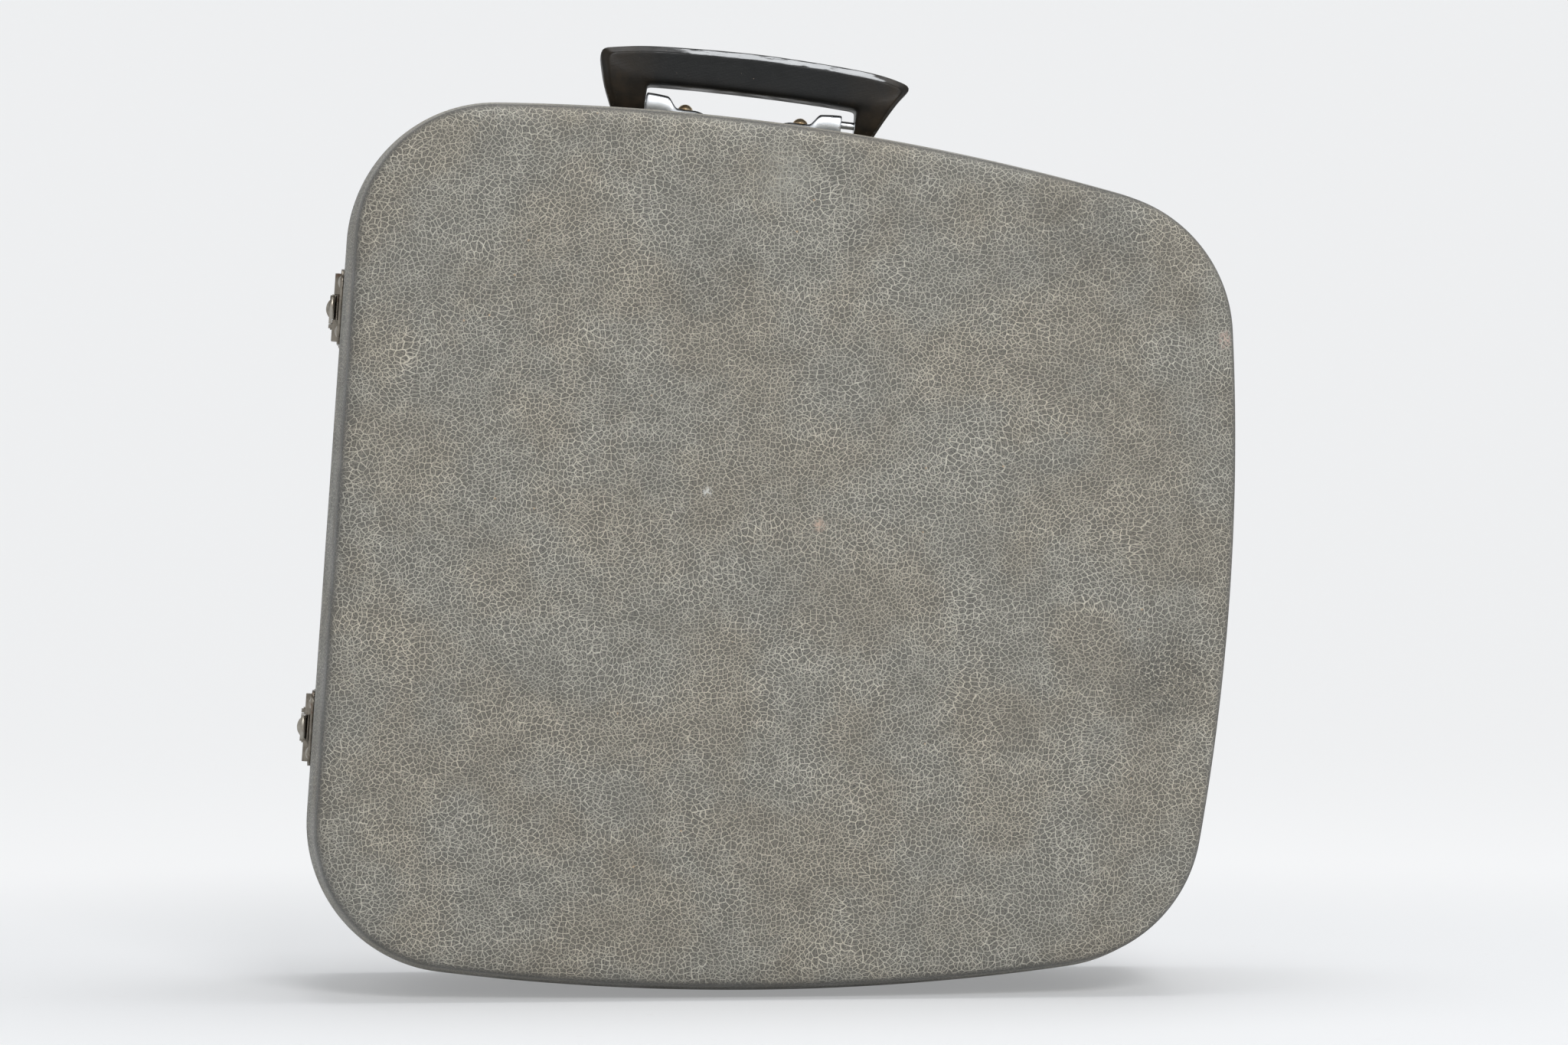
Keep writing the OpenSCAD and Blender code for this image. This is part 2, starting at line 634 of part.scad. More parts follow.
// Four rubber feet under the base, each with a screw sunk in it.
module rubber_feet() color([0.12, 0.12, 0.12]) stand()
  for (p = foot_places)
    translate([p[0], base_d, p[1]]) rotate([-90, 0, 0]) difference() {
      cylinder(h = foot_h, r1 = foot_r, r2 = foot_r - 1);
      translate([0, 0, -1]) cylinder(h = foot_h + 2, r = screw_r);
      translate([0, 0, foot_h / 2]) cylinder(h = foot_h, r = 3.4);
    }
module foot_screws() color("silver") stand()
  for (p = foot_places)
    translate([p[0], base_d, p[1]]) rotate([-90, 0, 0]) {
      translate([0, 0, -screw_l]) cylinder(h = screw_l + foot_h / 2, r = screw_r);
      translate([0, 0, foot_h / 2]) cylinder(h = 1, r = 3);
    }

// Two steel clips on the base's floor that hook over the front rail of the machine.
module machine_clips() color("silver") stand()
  for (side = [-1, 1])
    translate([clip_x, floor_y, side * clip_z]) rotate([90, 0, 0]) difference() {
      rotate([90, 0, 0]) linear_extrude(clip_w, center = true) polygon([
        [0, 0], [clip_foot, 0], [clip_foot, clip_t], [clip_t, clip_t],
        [clip_t, clip_h - clip_t], [8, clip_h - clip_t], [8, clip_h], [0, clip_h]
      ]);
      translate([clip_rivet_at, 0, -1]) cylinder(h = 5, r = rivet_r + hole_gap);
    }
module clip_rivets() color("silver") stand()
  clip_rivet_places() translate([0, 0, 0]) union() {
    translate([0, 0, clip_t]) cylinder(h = 0.9, r = rivet_head_r);
    cylinder(h = clip_t, r = rivet_r);
  }

base_board();
base_cloth();
base_lining();
rim_strip();
lid_board();
lid_cloth();
lid_lining();
handle_grip();
foot_plates();
handle_pins();
handle_bracket_left();
handle_bracket_right();
bracket_rivets();
latch_plate(1);  // latch_plate_upper
latch_plate(-1);  // latch_plate_lower
latch_lever(1);  // latch_lever_upper
latch_lever(-1);  // latch_lever_lower
latch_pins();
latch_rivets();
keeper(1);  // keeper_upper
keeper(-1);  // keeper_lower
keeper_rivets();
hinge_base_leaves();
hinge_lid_leaves();
hinge_pins();
hinge_base_rivets();
hinge_lid_rivets();
rubber_feet();
foot_screws();
machine_clips();
clip_rivets();
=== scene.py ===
import json
import math

import bmesh
import bpy
from mathutils import Matrix, Vector, noise


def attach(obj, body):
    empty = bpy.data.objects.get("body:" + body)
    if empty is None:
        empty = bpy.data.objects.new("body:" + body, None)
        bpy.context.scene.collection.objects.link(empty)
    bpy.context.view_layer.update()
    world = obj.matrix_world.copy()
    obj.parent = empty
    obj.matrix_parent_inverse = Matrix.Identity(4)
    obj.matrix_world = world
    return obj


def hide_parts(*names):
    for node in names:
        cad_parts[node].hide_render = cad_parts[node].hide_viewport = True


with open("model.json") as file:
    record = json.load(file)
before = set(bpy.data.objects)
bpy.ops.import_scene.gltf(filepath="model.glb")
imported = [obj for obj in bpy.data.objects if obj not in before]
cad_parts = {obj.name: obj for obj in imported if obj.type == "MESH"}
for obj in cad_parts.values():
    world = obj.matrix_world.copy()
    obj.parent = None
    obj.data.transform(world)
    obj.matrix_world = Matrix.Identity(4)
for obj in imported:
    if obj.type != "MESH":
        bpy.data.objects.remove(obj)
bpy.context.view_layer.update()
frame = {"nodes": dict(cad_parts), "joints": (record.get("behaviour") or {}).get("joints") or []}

# The place the case is seen from: 1.8 m in front of it, a little to the left and low down,
# through a long lens, so that the lid's face and a sliver of the latch side show.
camera_place = Vector((-0.11, -1.8, 0.15))
look_right = 3.78
look_up = 0.94
camera_roll = -0.2
camera_data = bpy.data.cameras.new("camera")
camera_data.sensor_width = 36
camera_data.lens = 106.1
camera_data.clip_end = 20
camera = bpy.data.objects.new("camera", camera_data)
bpy.context.scene.collection.objects.link(camera)
camera.matrix_world = (
    Matrix.Translation(camera_place)
    @ Matrix.Rotation(math.radians(-look_right), 4, "Z")
    @ Matrix.Rotation(math.radians(90 + look_up), 4, "X")
    @ Matrix.Rotation(math.radians(camera_roll), 4, "Z")
)
bpy.context.scene.camera = camera
bpy.context.scene.view_settings.view_transform = "Standard"


# The studio: a round white paper sweep, flat under the case and curved up to a wall all round it,
# a wide soft lamp overhead, a smaller one in front, and a dim even room. The paper is slightly
# dirty. Sizes are in metres.
sweep_r = 9.0
sweep_round = 4.0
sweep_top = 7.0


def link(name, mesh):
    """Puts a mesh into the scene under its name."""
    piece = bpy.data.objects.new(name, mesh)
    bpy.context.scene.collection.objects.link(piece)
    return piece


def tint(red, green, blue):
    """A colour given as it looks on a screen, 0 to 255, as the linear colour that a shader takes."""
    linear = [((c / 255 + 0.055) / 1.055) ** 2.4 if c > 10 else c / 255 / 12.92 for c in (red, green, blue)]
    return (*linear, 1)


class Finish:
    """One surface finish. Most methods add a node and give back its output."""

    def __init__(self, name, roughness=0.5, metallic=0.0, specular=0.5):
        self.material = bpy.data.materials.new(name)
        self.material.use_nodes = True
        self.nodes = self.material.node_tree.nodes
        self.links = self.material.node_tree.links
        self.nodes.clear()
        self.output = self.nodes.new("ShaderNodeOutputMaterial")
        self.shader = self.nodes.new("ShaderNodeBsdfPrincipled")
        self.links.new(self.shader.outputs[0], self.output.inputs[0])
        self.shader.inputs["Roughness"].default_value = roughness
        self.shader.inputs["Metallic"].default_value = metallic
        self.shader.inputs["Specular IOR Level"].default_value = specular

    def put(self, socket, value):
        if isinstance(value, bpy.types.NodeSocket):
            self.links.new(value, socket)
        else:
            socket.default_value = value

    def millimetres(self):
        place = self.nodes.new("ShaderNodeTexCoord").outputs["Object"]
        return self.scaled(place, (1000, 1000, 1000))

    def scaled(self, vector, by):
        node = self.nodes.new("ShaderNodeVectorMath")
        node.operation = "MULTIPLY"
        self.put(node.inputs[0], vector)
        node.inputs[1].default_value = by
        return node.outputs[0]

    def moved(self, vector, by):
        node = self.nodes.new("ShaderNodeVectorMath")
        self.put(node.inputs[0], vector)
        self.put(node.inputs[1], by)
        return node.outputs[0]

    def turned(self, vector, axis, degrees):
        node = self.nodes.new("ShaderNodeVectorRotate")
        node.rotation_type = "AXIS_ANGLE"
        self.put(node.inputs["Vector"], vector)
        node.inputs["Axis"].default_value = axis
        node.inputs["Angle"].default_value = math.radians(degrees)
        return node.outputs[0]

    def cloud(self, vector, size, detail=2, colour=False):
        node = self.nodes.new("ShaderNodeTexNoise")
        self.put(node.inputs["Vector"], vector)
        node.inputs["Scale"].default_value = 1 / size
        node.inputs["Detail"].default_value = detail
        return node.outputs["Color" if colour else "Fac"]

    def cells(self, vector, size, feature="DISTANCE_TO_EDGE", flat=False):
        node = self.nodes.new("ShaderNodeTexVoronoi")
        node.voronoi_dimensions = "2D" if flat else "3D"
        node.feature = feature
        self.put(node.inputs["Vector"], vector)
        node.inputs["Scale"].default_value = 1 / size
        return node.outputs["Distance"]

    def fade(self, value, start, end, low=0, high=1):
        node = self.nodes.new("ShaderNodeMapRange")
        node.interpolation_type = "SMOOTHSTEP"
        self.put(node.inputs["Value"], value)
        ends = {"From Min": start, "From Max": end, "To Min": low, "To Max": high}
        for key, number in ends.items():
            self.put(node.inputs[key], number)
        return node.outputs[0]

    def calc(self, operation, a, b):
        node = self.nodes.new("ShaderNodeMath")
        node.operation = operation
        self.put(node.inputs[0], a)
        self.put(node.inputs[1], b)
        return node.outputs[0]

    def times(self, a, b):
        return self.calc("MULTIPLY", a, b)

    def mix(self, factor, a, b):
        """One colour faded into another. The node's colours are its inputs 6 and 7 and output 2."""
        node = self.nodes.new("ShaderNodeMix")
        node.data_type = "RGBA"
        self.put(node.inputs["Factor"], factor)
        self.put(node.inputs[6], a)
        self.put(node.inputs[7], b)
        return node.outputs[2]

    def painted(self, name, output="Fac"):
        node = self.nodes.new("ShaderNodeAttribute")
        node.attribute_name = name
        return node.outputs[output]

    def distance(self, vector, place):
        node = self.nodes.new("ShaderNodeVectorMath")
        node.operation = "DISTANCE"
        self.put(node.inputs[0], vector)
        node.inputs[1].default_value = place
        return node.outputs["Value"]

    def near(self, vector, place, size):
        """1 close to a place and 0 from the distance size on."""
        return self.fade(self.distance(vector, place), size, size * 0.3)

    def bump(self, height, depth_mm):
        node = self.nodes.new("ShaderNodeBump")
        node.inputs["Strength"].default_value = 1
        node.inputs["Distance"].default_value = depth_mm / 1000
        self.put(node.inputs["Height"], height)
        self.links.new(node.outputs[0], self.shader.inputs["Normal"])

    def look(self, colour, roughness=None):
        self.put(self.shader.inputs["Base Color"], colour)
        if roughness is not None:
            self.put(self.shader.inputs["Roughness"], roughness)
        return self.material


def ring_faces(rings, n):
    """Faces between rings of n points each, where the points follow ring after ring."""
    return [
        (a * n + i, a * n + (i + 1) % n, (a + 1) * n + (i + 1) % n, (a + 1) * n + i)
        for a in range(rings - 1) for i in range(n)
    ]


def paper_sweep():
    """A disc of paper whose edge curves up to an upright wall, in metres."""
    flat_r = sweep_r - sweep_round
    flat_steps = 4
    curve_steps = 16
    n = 96
    path = [(flat_r * k / flat_steps, 0.0) for k in range(1, flat_steps + 1)]
    for k in range(1, curve_steps + 1):
        a = math.pi / 2 * k / curve_steps
        path.append((flat_r + sweep_round * math.sin(a), sweep_round * (1 - math.cos(a))))
    path.append((sweep_r, sweep_top))
    turns = [(math.cos(2 * math.pi * i / n), math.sin(2 * math.pi * i / n)) for i in range(n)]
    points = [(r * x, r * y, z) for r, z in path for x, y in turns] + [(0, 0, 0)]
    middle = len(points) - 1
    faces = ring_faces(len(path), n) + [(middle, (i + 1) % n, i) for i in range(n)]
    mesh = bpy.data.meshes.new("paper_sweep")
    mesh.from_pydata(points, [], faces)
    mesh.polygons.foreach_set("use_smooth", [True] * len(mesh.polygons))
    return link("paper_sweep", mesh)


def seen_ray(finish):
    """1 for rays from the camera, from metal and through glass, otherwise 0."""
    rays = finish.nodes.new("ShaderNodeLightPath").outputs
    bounced = finish.calc("MAXIMUM", rays["Is Glossy Ray"], rays["Is Transmission Ray"])
    return finish.calc("MAXIMUM", rays["Is Camera Ray"], bounced)


def paper_finish():
    paper = Finish("white_paper", roughness=0.7, specular=0.2)
    place = paper.millimetres()
    dirt_strength = 0.2
    dirt = paper.fade(paper.cloud(place, 9, 4), 0.68, 0.76, 0, dirt_strength)
    look = paper.look(paper.mix(dirt, tint(246, 247, 249), tint(214, 206, 196)))
    # Seen directly, in metal or through glass the paper is nearly white, but less so near the case,
    # where it keeps the shadow.
    near_mm = 180
    far_mm = 900
    far = paper.fade(paper.distance(place, (0, 0, 0)), near_mm, far_mm, 0.3, 0.82)
    glow = paper.nodes.new("ShaderNodeEmission")
    glow.inputs["Color"].default_value = tint(251, 252, 253)
    blend = paper.nodes.new("ShaderNodeMixShader")
    paper.put(blend.inputs[0], paper.times(seen_ray(paper), far))
    paper.put(blend.inputs[1], paper.shader.outputs[0])
    paper.put(blend.inputs[2], glow.outputs[0])
    paper.put(paper.output.inputs[0], blend.outputs[0])
    return look


sweep = paper_sweep()
sweep.data.materials.append(paper_finish())


def lamp(name, place, aim, size, power):
    """A soft square lamp that points at aim."""
    data = bpy.data.lights.new(name, "AREA")
    data.size = size
    data.energy = power
    lamp_object = bpy.data.objects.new(name, data)
    bpy.context.scene.collection.objects.link(lamp_object)
    towards = Vector(aim) - Vector(place)
    lamp_object.matrix_world = (
        Matrix.Translation(place) @ towards.to_track_quat("-Z", "Y").to_matrix().to_4x4()
    )


case_middle = (0.0, 0.0, 0.15)
lamp("lamp_overhead", (0.15, 0.05, 1.6), case_middle, size=1.0, power=11)
lamp("lamp_front", (0.35, -2.4, 1.25), case_middle, size=0.6, power=30)
room = bpy.data.worlds.new("room")
room.use_nodes = True
room.node_tree.nodes["Background"].inputs["Color"].default_value = (0.96, 0.98, 1, 1)
room.node_tree.nodes["Background"].inputs["Strength"].default_value = 0.4
bpy.context.scene.world = room


# The case's own frame, in millimetres: x runs from the latches to the hinges, z across the case
# and y away from the camera, with the seam at y = 0. The case leans, and the hinge joint says how.
body_l = 347
body_w = 336.6
crest_at = 109.7
side_r = 864
long_r = 911
corner_r = 60.2
latch_corner_r = 57.3
hinge_x = body_l / 2 + 0.6
joints = {joint["name"]: joint for joint in frame["joints"]}
across = Vector(joints["lid_hinge"]["axis"]).normalized()
hinge_place = Vector(joints["lid_hinge"]["pos_m"])


def frame_of(x_axis, z_axis, origin):
    """The matrix that takes millimetres along these axes to metres in the scene."""
    y_axis = z_axis.cross(x_axis)
    turn = Matrix((x_axis, y_axis, z_axis)).transposed().to_4x4()
    return Matrix.Translation(origin) @ turn @ Matrix.Scale(0.001, 4)


case_x = Vector((across.z, 0, -across.x))
stand = frame_of(case_x, across, hinge_place) @ Matrix.Translation((-hinge_x, 0, 0))

# Centres of the outline's arcs, all of which run smoothly into the next.
left_x = -body_l / 2
side_c = Vector((body_l / 2 - side_r, 0))
long_c = Vector((left_x + crest_at, body_w / 2 - long_r))
span = (long_c - side_c).length
towards_long = (long_c - side_c) / span
reach = ((side_r - corner_r) ** 2 - (long_r - corner_r) ** 2 + span**2) / (2 * span)
rise = math.sqrt((side_r - corner_r) ** 2 - reach**2)
corner_c = side_c + reach * towards_long + rise * Vector((-towards_long.y, towards_long.x))
latch_corner_x = left_x + latch_corner_r
latch_corner_c = Vector((
    latch_corner_x,
    long_c.y + math.sqrt((long_r - latch_corner_r) ** 2 - (latch_corner_x - long_c.x) ** 2),
))


def stations():
    """Places all round the outline, each as arc centre, radius and the way it faces."""
    side_end = math.atan2(*reversed(corner_c - side_c))
    corner_end = math.atan2(*reversed(corner_c - long_c))
    long_end = math.atan2(*reversed(latch_corner_c - long_c))
    arcs = [
        (side_c, side_r, 0, side_end, 24),
        (corner_c, corner_r, side_end, corner_end, 32),
        (long_c, long_r, corner_end, long_end, 60),
        (latch_corner_c, latch_corner_r, long_end, math.pi, 32),
    ]
    upper = [
        (centre.x, centre.y, radius, start + (end - start) * k / steps)
        for centre, radius, start, end, steps in arcs for k in range(steps)
    ]
    straight_n = 40
    straight = [
        (latch_corner_c.x, latch_corner_c.y * (1 - 2 * k / straight_n), latch_corner_r, math.pi)
        for k in range(straight_n + 1)
    ]
    lower = [(cx, -cz, radius, -angle) for cx, cz, radius, angle in reversed(upper[1:])]
    return upper + straight + lower


outline = stations()


# Leathercloth is glued over each of the two trays, which are pressed board. It is one skin that
# turns round the edges and over the rim. All sizes are in millimetres.
cloth_t = 0.9
board_t = 4.2
lining_t = 0.8
edge_r = 8
seam = 0.2
trays = {
    "lid": {"way": -1, "depth": 70, "band": 25, "draft": 5},
    "base": {"way": 1, "depth": 80, "band": 34, "draft": 3},
}


def wall_rows(tray, under):
    """Rows from the rim to the edge of the face, as (inset, depth), for a surface under the outside."""
    face_at = tray["depth"] - seam
    band = tray["band"]
    slope = tray["draft"] / (face_at - band - edge_r)
    ease = 10
    ease_steps = 6
    slope_steps = 4
    round_steps = 12
    rows = [(under, s) for s in (0, 1.2, 4, 8)]
    for k in range(ease_steps + 1):
        s = band - ease + 2 * ease * k / ease_steps
        rows.append((under + slope * (s - band + ease) ** 2 / (4 * ease), s))
    slope_from = band + ease
    slope_to = face_at - edge_r - 0.5
    for k in range(1, slope_steps + 1):
        s = slope_from + (slope_to - slope_from) * k / slope_steps
        rows.append((under + slope * (s - band), s))
    lean_in = math.atan(slope)
    centre_inset = tray["draft"] + edge_r * math.cos(lean_in)
    for k in range(round_steps + 1):
        a = lean_in + (math.pi / 2 - lean_in) * k / round_steps
        rows.append((
            centre_inset - (edge_r - under) * math.cos(a), face_at - edge_r + (edge_r - under) * math.sin(a)
        ))
    return rows


def girth_of(ring):
    """Distance along the outline from the bulge, the same both ways round, so that it has no jump."""
    places = [Vector((cx + r * math.cos(a), cz + r * math.sin(a))) for cx, cz, r, a in ring]
    lengths = [0.0]
    for here, there in zip(places, places[1:]):
        lengths.append(lengths[-1] + (there - here).length)
    whole = lengths[-1] + (places[0] - places[-1]).length
    return [min(length, whole - length) for length in lengths]


face_rings = 30
wall_from = 2.0
wall_fade = 3.5
ripple_x = 55
ripple_z = 75
ripple_h = 0.35


def ripple(x, z, height):
    """The board under the cloth isn't quite flat."""
    return height * noise.noise(Vector((x / ripple_x, 0.3, z / ripple_z)))


def paint(mesh, name, values):
    """Stores a number for each point of a mesh, for its finish to read."""
    mesh.attributes.new(name, "FLOAT", "POINT").data.foreach_set("value", values)


def face_outward(mesh):
    """Turns all faces of a closed mesh outward and shades them smooth."""
    work = bmesh.new()
    work.from_mesh(mesh)
    bmesh.ops.recalc_face_normals(work, faces=work.faces)
    work.to_mesh(mesh)
    work.free()
    mesh.polygons.foreach_set("use_smooth", [True] * len(mesh.polygons))


def skin(name, tray, rows, wave, wear_and_painted_light=None):
    """A closed skin from the middle of one face, over all rows, to the middle of the other face."""
    way = tray["way"]
    points = []
    worn_and_shaded = []

    def ring(inset, s, shrink=1.0, wavy=0.0):
        for cx, cz, radius, angle in outline:
            x = cx + (radius - inset) * math.cos(angle)
            z = cz + (radius - inset) * math.sin(angle)
            x *= shrink
            z *= shrink
            points.append(Vector((x, way * (seam + s + ripple(x, z, wavy)), z)))

    first = rows[0]
    last = rows[-1]
    wall_end = tray["depth"] - seam - wall_from
    girth = girth_of(outline)
    flat_place = []
    on_wall = []
    shares = [k / face_rings for k in range(1, face_rings)]
    grid = [(first, t, wave * min(1, (1 - t) * 6)) for t in shares]
    grid += [(row, 1.0, 0.0) for row in rows]
    grid += [(last, t, wave * min(1, (1 - t) * 6)) for t in reversed(shares)]
    n = len(outline)
    m = len(grid)
    for (inset, s), shrink, wavy in grid:
        ring(inset, s, shrink, wavy)
        flat_place += [(length, s, 0) for length in girth]
        wall_here = max(0.0, min(1.0, (wall_end - s) / wall_fade)) if shrink == 1 else 0.0
        on_wall += [wall_here] * n
        worn_and_shaded += [wear_and_painted_light(s) if wear_and_painted_light and shrink == 1 else 0.0] * n
    for row in (first, last):
        points.append(Vector((0, way * (seam + row[1] + ripple(0, 0, wave)), 0)))
        worn_and_shaded.append(0.0)
        flat_place.append((0, 0, 0))
        on_wall.append(0.0)
    faces = ring_faces(m, n)
    faces += [(m * n, (i + 1) % n, i) for i in range(n)]
    faces += [(m * n + 1, (m - 1) * n + i, (m - 1) * n + (i + 1) % n) for i in range(n)]
    mesh = bpy.data.meshes.new(name)
    placed = [stand @ p for p in points]
    # The ripple doesn't push the cloth into the ground.
    for p in placed:
        p.z = max(p.z, 0.0)
    mesh.from_pydata(placed, [], faces)
    # Edge wear and painted shade: how much the finish smooths and darkens the cloth at each point.
    paint(mesh, "edge_wear_and_shade", worn_and_shaded)
    paint(mesh, "on_wall", on_wall)
    wall = mesh.attributes.new("wall_mm", "FLOAT_VECTOR", "POINT")
    wall.data.foreach_set("vector", [c for p in flat_place for c in p])
    face_outward(mesh)
    return link(name, mesh)


def settle(piece):
    """Turns a piece's modifiers into its mesh."""
    bpy.context.view_layer.update()
    made = piece.evaluated_get(bpy.context.evaluated_depsgraph_get())
    mesh = bpy.data.meshes.new_from_object(made)
    piece.modifiers.clear()
    piece.data = mesh


def leathercloth(name, speck_tint, marks=()):
    """Printed and embossed leathercloth: dark grey skin with a pale crackle, worn and smudged, and darkened
    as painted shade at its edges.
    """
    cloth = Finish(name, roughness=0.5, specular=0.4)
    place = cloth.millimetres()
    drift = cloth.scaled(cloth.cloud(place, 3.5, 2, colour=True), (1.5, 1.5, 1.5))
    wide_drift = cloth.scaled(cloth.cloud(place, 30, 2, colour=True), (12, 12, 12))
    drift = cloth.moved(drift, wide_drift)
    on_face = cloth.moved(cloth.turned(place, (1, 0, 0), 90), drift)
    on_side = cloth.moved(cloth.painted("wall_mm", "Vector"), drift)
    side = cloth.painted("on_wall")

    def crackle(size, narrow, wide, squash, start):
        """Lines between cells of one size, on the face and on the walls."""
        lines = []
        for vector in (on_face, on_side):
            squashed = cloth.scaled(cloth.moved(vector, start), squash)
            lines.append(cloth.fade(cloth.cells(squashed, size, flat=True), wide, narrow))
        return cloth.fade(side, 0, 1, *lines)

    main_line = crackle(1.95, 0.02, 0.105, (0.95, 1.05, 1), (7, 3, 0))
    inner_line = crackle(1.1, 0.02, 0.13, (0.9, 1.1, 1), (40, 9, 0))
    fine_line = crackle(0.58, 0.03, 0.2, (0.7, 1.4, 1), (2, 70, 0))
    patch = cloth.cloud(place, 30, 3)
    tone = cloth.cloud(cloth.moved(place, (90, 0, 40)), 34, 5)
    strong = cloth.fade(patch, 0.3, 0.7, 0.84, 1.0)
    part = cloth.fade(cloth.cloud(place, 7, 2), 0.35, 0.65, 0.35, 0.95)
    inner_strength = cloth.times(part, cloth.times(strong, 0.8))
    network = cloth.calc(
        "MAXIMUM", cloth.times(main_line, strong), cloth.times(inner_line, inner_strength)
    )
    network = cloth.calc("MAXIMUM", network, cloth.times(fine_line, 0.26))
    worn_and_shaded = cloth.painted("edge_wear_and_shade")
    network = cloth.times(network, cloth.fade(worn_and_shaded, 0.15, 0.95, 1, 0.5))
    grey_skin = tint(85, 84, 79)
    brown_skin = tint(86, 83, 76)
    skin_colour = cloth.mix(cloth.fade(tone, 0.35, 0.65), grey_skin, brown_skin)
    pores = cloth.fade(cloth.cloud(place, 1.3, 3), 0.3, 0.75, 0, 0.5)
    skin_colour = cloth.mix(pores, skin_colour, tint(74, 74, 70))
    grey_line = tint(222, 218, 204)
    cream_line = tint(222, 214, 196)
    line_colour = cloth.mix(cloth.fade(tone, 0.38, 0.62), grey_line, cream_line)
    colour = cloth.mix(network, skin_colour, line_colour)
    speck = cloth.fade(cloth.cells(cloth.moved(place, (3, 60, 8)), 9, "F1"), 0.055, 0.03)
    speck = cloth.times(speck, cloth.fade(cloth.cloud(place, 21, 2), 0.52, 0.6))
    colour = cloth.mix(cloth.times(speck, 0.75), colour, tint(*speck_tint))
    for spot, spread, mark_tint, strength in marks:
        ragged = cloth.fade(cloth.cloud(place, 1.1, 3), 0.42, 0.56, 0, strength)
        mark = cloth.times(cloth.near(place, spot, spread), ragged)
        colour = cloth.mix(mark, colour, tint(*mark_tint))
    smudge = cloth.fade(cloth.cloud(cloth.moved(place, (0, 0, 300)), 24, 4), 0.6, 0.74, 0, 0.16)
    colour = cloth.mix(smudge, colour, tint(78, 77, 72))
    # Painted shade: the edge mask darkens the cloth where the walls turn into the face, and the same mask
    # also darkens it along the rim.
    colour = cloth.mix(cloth.times(worn_and_shaded, 0.5), colour, tint(52, 52, 52))
    grain = 1
    for line, depth in ((main_line, 0.8), (inner_line, 0.5), (fine_line, 0.3)):
        grain = cloth.calc("SUBTRACT", grain, cloth.times(line, depth))
    cloth.bump(grain, 0.22)
    rough = cloth.fade(cloth.cloud(place, 16, 3), 0.3, 0.7, 0.42, 0.58)
    return cloth.look(colour, rough)


# Marks on the lid's face: place in millimetres, reach, colour and strength.
lid_marks = (
    ((-24.8, -77, 189.9), 2.4, (236, 236, 230), 0.9),
    ((17, -77, 177.3), 3.2, (218, 190, 170), 0.7),
    ((171.6, -77, 246.7), 5, (214, 190, 176), 0.8),
    ((4.1, -77, 308), 15, (176, 174, 164), 0.5),
    ((148.2, -77, 120.3), 26, (62, 62, 58), 0.5),
    ((118, -77, 291.4), 34, (70, 70, 66), 0.35),
    ((-23.1, -77, 269.1), 24, (66, 65, 60), 0.3),
)
cloth_finish = {
    "lid": leathercloth("lid_leathercloth", (214, 184, 146), lid_marks),
    "base": leathercloth("base_leathercloth", (200, 180, 150)),
}


def face_edge_wear_and_shade(tray):
    """Cloth is rubbed smooth where the sides turn into the face, and along the rim. The same mask darkens
    the cloth there, which at the face's edge is painted shade for the dark side wall.
    """
    rounding = tray["depth"] - edge_r
    edge_band_grows_over = 12
    edge_band_ends_over = 4
    rim_wear = 2.5

    def wear_and_painted_light(s):
        grows = (s - rounding + edge_band_grows_over) / edge_band_grows_over
        ends = (rounding + 6 - s) / edge_band_ends_over
        return max(0.0, min(1.0, max(min(grows, ends), 1 - s / rim_wear)))

    return wear_and_painted_light


# Rows as (inset, depth) over the rim, and then on the inside: the lid's hem goes 12 down its wall.
rim_turn = [(0.05, 0.3), (0.2, 0.05), (0.6, -0.1), (3, -0.1)]
hems = {
    "lid": [
        (5.6, -0.1), (6.1, 0.1), (6.2, 0.7), (6.2, 6), (6.2, 11.6), (6.1, 12), (5.95, 12),
        (5.95, 0.08), (1, 0.08),
    ],
    "base": [(5.6, -0.1), (5.84, 0), (5.84, 0.08), (1, 0.08)],
}
knuckle_r = 1.9
hinge_l = 21
hinge_z = 36.5


def hinge_notch(piece):
    """The cloth is cut away round both hinges' knuckles."""
    notch_r = knuckle_r + 0.35
    notch_l = hinge_l + 2
    for side in (-1, 1):
        cutter_mesh = bpy.data.meshes.new("notch")
        cutter = bmesh.new()
        bmesh.ops.create_cone(
            cutter, cap_ends=True, segments=40, radius1=notch_r, radius2=notch_r, depth=notch_l
        )
        knuckle = stand @ Matrix.Translation((hinge_x, 0, side * hinge_z))
        bmesh.ops.transform(cutter, matrix=knuckle, verts=cutter.verts)
        cutter.to_mesh(cutter_mesh)
        cutter.free()
        notch = link("notch", cutter_mesh)
        cut = piece.modifiers.new("notch", "BOOLEAN")
        cut.object = notch
        cut.operation = "DIFFERENCE"
        settle(piece)
        bpy.data.objects.remove(notch)


for half, tray in trays.items():
    outside = wall_rows(tray, 0)
    inside = wall_rows(tray, cloth_t)
    rows = outside[::-1][:-1] + rim_turn + hems[half] + inside
    cloth_skin = skin(half + "_leathercloth", tray, rows, ripple_h, face_edge_wear_and_shade(tray))
    hinge_notch(cloth_skin)
    cloth_skin.data.materials.clear()
    cloth_skin.data.materials.append(cloth_finish[half])
    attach(cloth_skin, half)
    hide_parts(half + "_cloth")

# The trays are pressed from one sheet of board each, and show only where the cloth ends.
board = Finish("pressed_board", roughness=0.85, specular=0.2)
place = board.millimetres()
fibres = board.cloud(board.scaled(place, (1, 1, 0.25)), 1.2, 5)
board.bump(fibres, 0.08)
pressed_board = board.look(board.mix(fibres, tint(168, 140, 104), tint(200, 172, 132)))


def finish_node(node, material):
    """Gives a CAD node its real material."""
    slots = frame["nodes"][node].data.materials
    slots.clear()
    slots.append(material)


for half in trays:
    finish_node(half + "_board", pressed_board)

